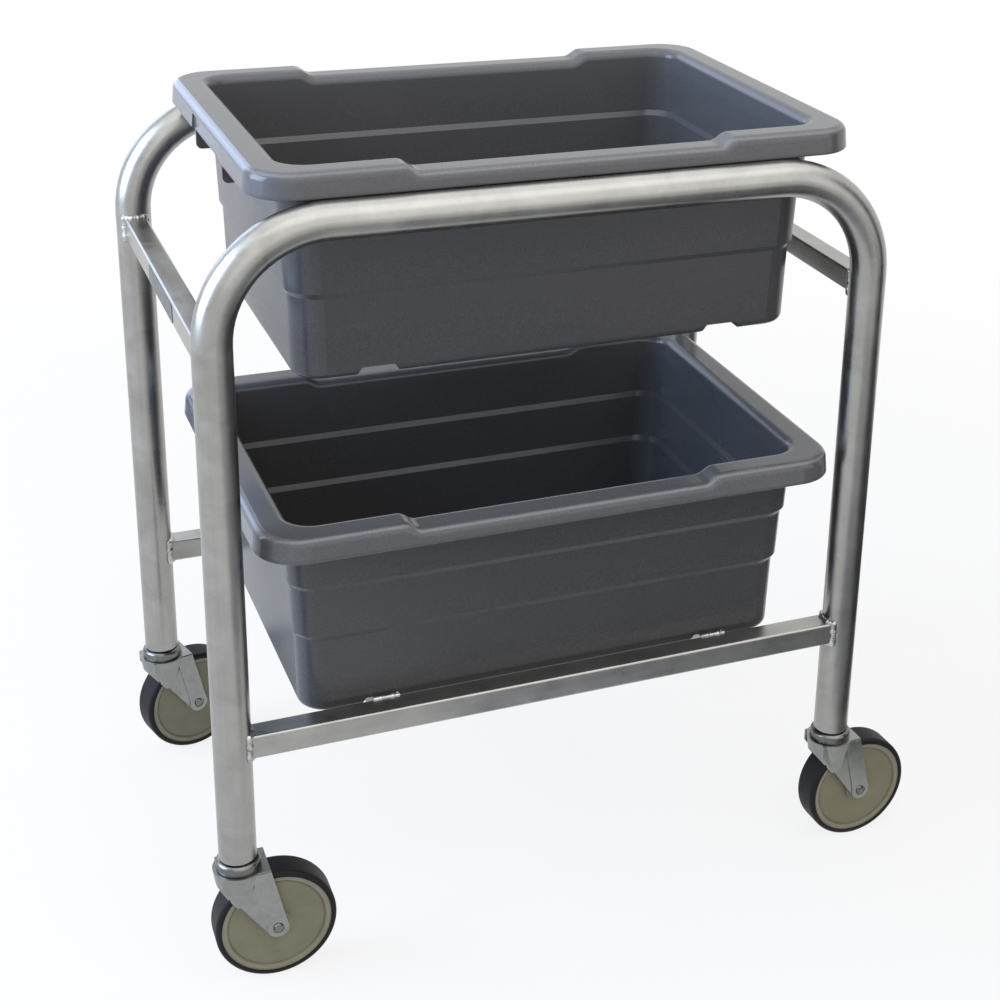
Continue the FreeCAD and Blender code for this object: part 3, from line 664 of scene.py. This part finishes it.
for name in ("front_hoop", "rear_hoop"):
    dress(name, hoopFinish)
for name in ("front_lower_rail", "rear_lower_rail"):
    dress(name, railFinish)
for name in ("left_upper_crossbar", "right_upper_crossbar", "left_support_bar", "right_support_bar"):
    dress(name, barFinish)
dress("label_plate", labelFinish)
for name, finish in lugFinishes.items():
    dress(name, finish)
casterFinishes = {
    "kingpin": forkFinish, "stem_nut": forkFinish, "fork": forkFinish, "axle": raceFinish, "bushing": raceFinish,
    "top_race": raceFinish, "balls": raceFinish, "washer": washerFinish, "expander": sleeveFinish,
    "tread": treadFinish,
}
for corner in corners:
    for piece, finish in casterFinishes.items():
        dress("%s_%s" % (corner, piece), finish)
    wheel = corner + "_wheel_core"
    dress(wheel, mouldedFinish(wheel + "Plastic", core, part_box(wheel)))
print("finishes on", len(nodes), "nodes")

# weld beads: a run of small overlapping blobs along every seam of the stand
weld = {
    "radius": 0.0040,  # at the legs
    "barRadius": 0.0028,  # at the support bars
    "spacing": 0.0032,
    "uneven": 0.24,  # how much the blobs differ in size
    "relax": 2,
    "voxel": 0.0008,
    "tube": 0.01905,  # outer radius of the legs
    "legs": (0.340, 0.218),
    "crossbarSize": 0.0235,
    "crossbarTop": 0.691,
    "railSize": 0.0254,
    "railTop": 0.287,
    "barMiddles": (-0.179, 0.189),
}


def barOutline(size, top):  # (across, height) pairs once round the end of a square bar
    count = round(size / weld["spacing"])
    steps = [size * i / count for i in range(count)]
    half = size / 2
    return ([(s - half, top) for s in steps] + [(half, top - s) for s in steps]
            + [(half - s, top - size) for s in steps] + [(-half, top - size + s) for s in steps])


def legDepth(across):  # how far the leg's surface stands out from its axis
    return math.sqrt(weld["tube"] ** 2 - across ** 2)


def layBead(name, radius, points):
    clearSelection()
    bpy.ops.mesh.primitive_ico_sphere_add(subdivisions=2, radius=radius, location=points[0])
    bead = bpy.context.object
    bead.name = name
    bpy.ops.object.transform_apply(location=True, rotation=True, scale=True)
    bpy.ops.object.mode_set(mode="EDIT")
    for i, point in enumerate(points[1:]):
        size = radius * (1 + weld["uneven"] * math.sin(2.3 * i) * math.cos(0.7 * i))
        bpy.ops.mesh.primitive_ico_sphere_add(subdivisions=2, radius=size, location=point)
    bpy.ops.object.mode_set(mode="OBJECT")
    fuse = bead.modifiers.new("fuse", "REMESH")
    fuse.mode = "VOXEL"
    fuse.voxel_size = weld["voxel"]
    fuse.use_smooth_shade = True
    bpy.ops.object.modifier_apply(modifier="fuse")
    relax = bead.modifiers.new("relax", "SMOOTH")
    relax.iterations = weld["relax"]
    bpy.ops.object.modifier_apply(modifier="relax")
    bpy.ops.object.shade_smooth()
    bead.data.materials.append(weldFinish)
    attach(bead, "frame")


legX, legY = weld["legs"]
for sideName, side in (("left", -1), ("right", 1)):
    for endName, end in (("front", -1), ("rear", 1)):
        ring = barOutline(weld["crossbarSize"], weld["crossbarTop"])
        layBead("weld_%s_crossbar_%s" % (sideName, endName), weld["radius"],
                [(side * legX + u, end * (legY - legDepth(u)), z) for u, z in ring])
        ring = barOutline(weld["railSize"], weld["railTop"])
        layBead("weld_%s_rail_%s" % (endName, sideName), weld["radius"],
                [(side * (legX - legDepth(u)), end * legY + u, z) for u, z in ring])
for middleName, middle in zip(("left", "right"), weld["barMiddles"]):
    for endName, end in (("front", -1), ("rear", 1)):
        ring = barOutline(weld["railSize"], weld["railTop"])
        layBead("weld_%s_support_%s" % (middleName, endName), weld["barRadius"],
                [(middle + u, end * (legY - weld["railSize"] / 2), z) for u, z in ring])
clearSelection()
print("welds laid")
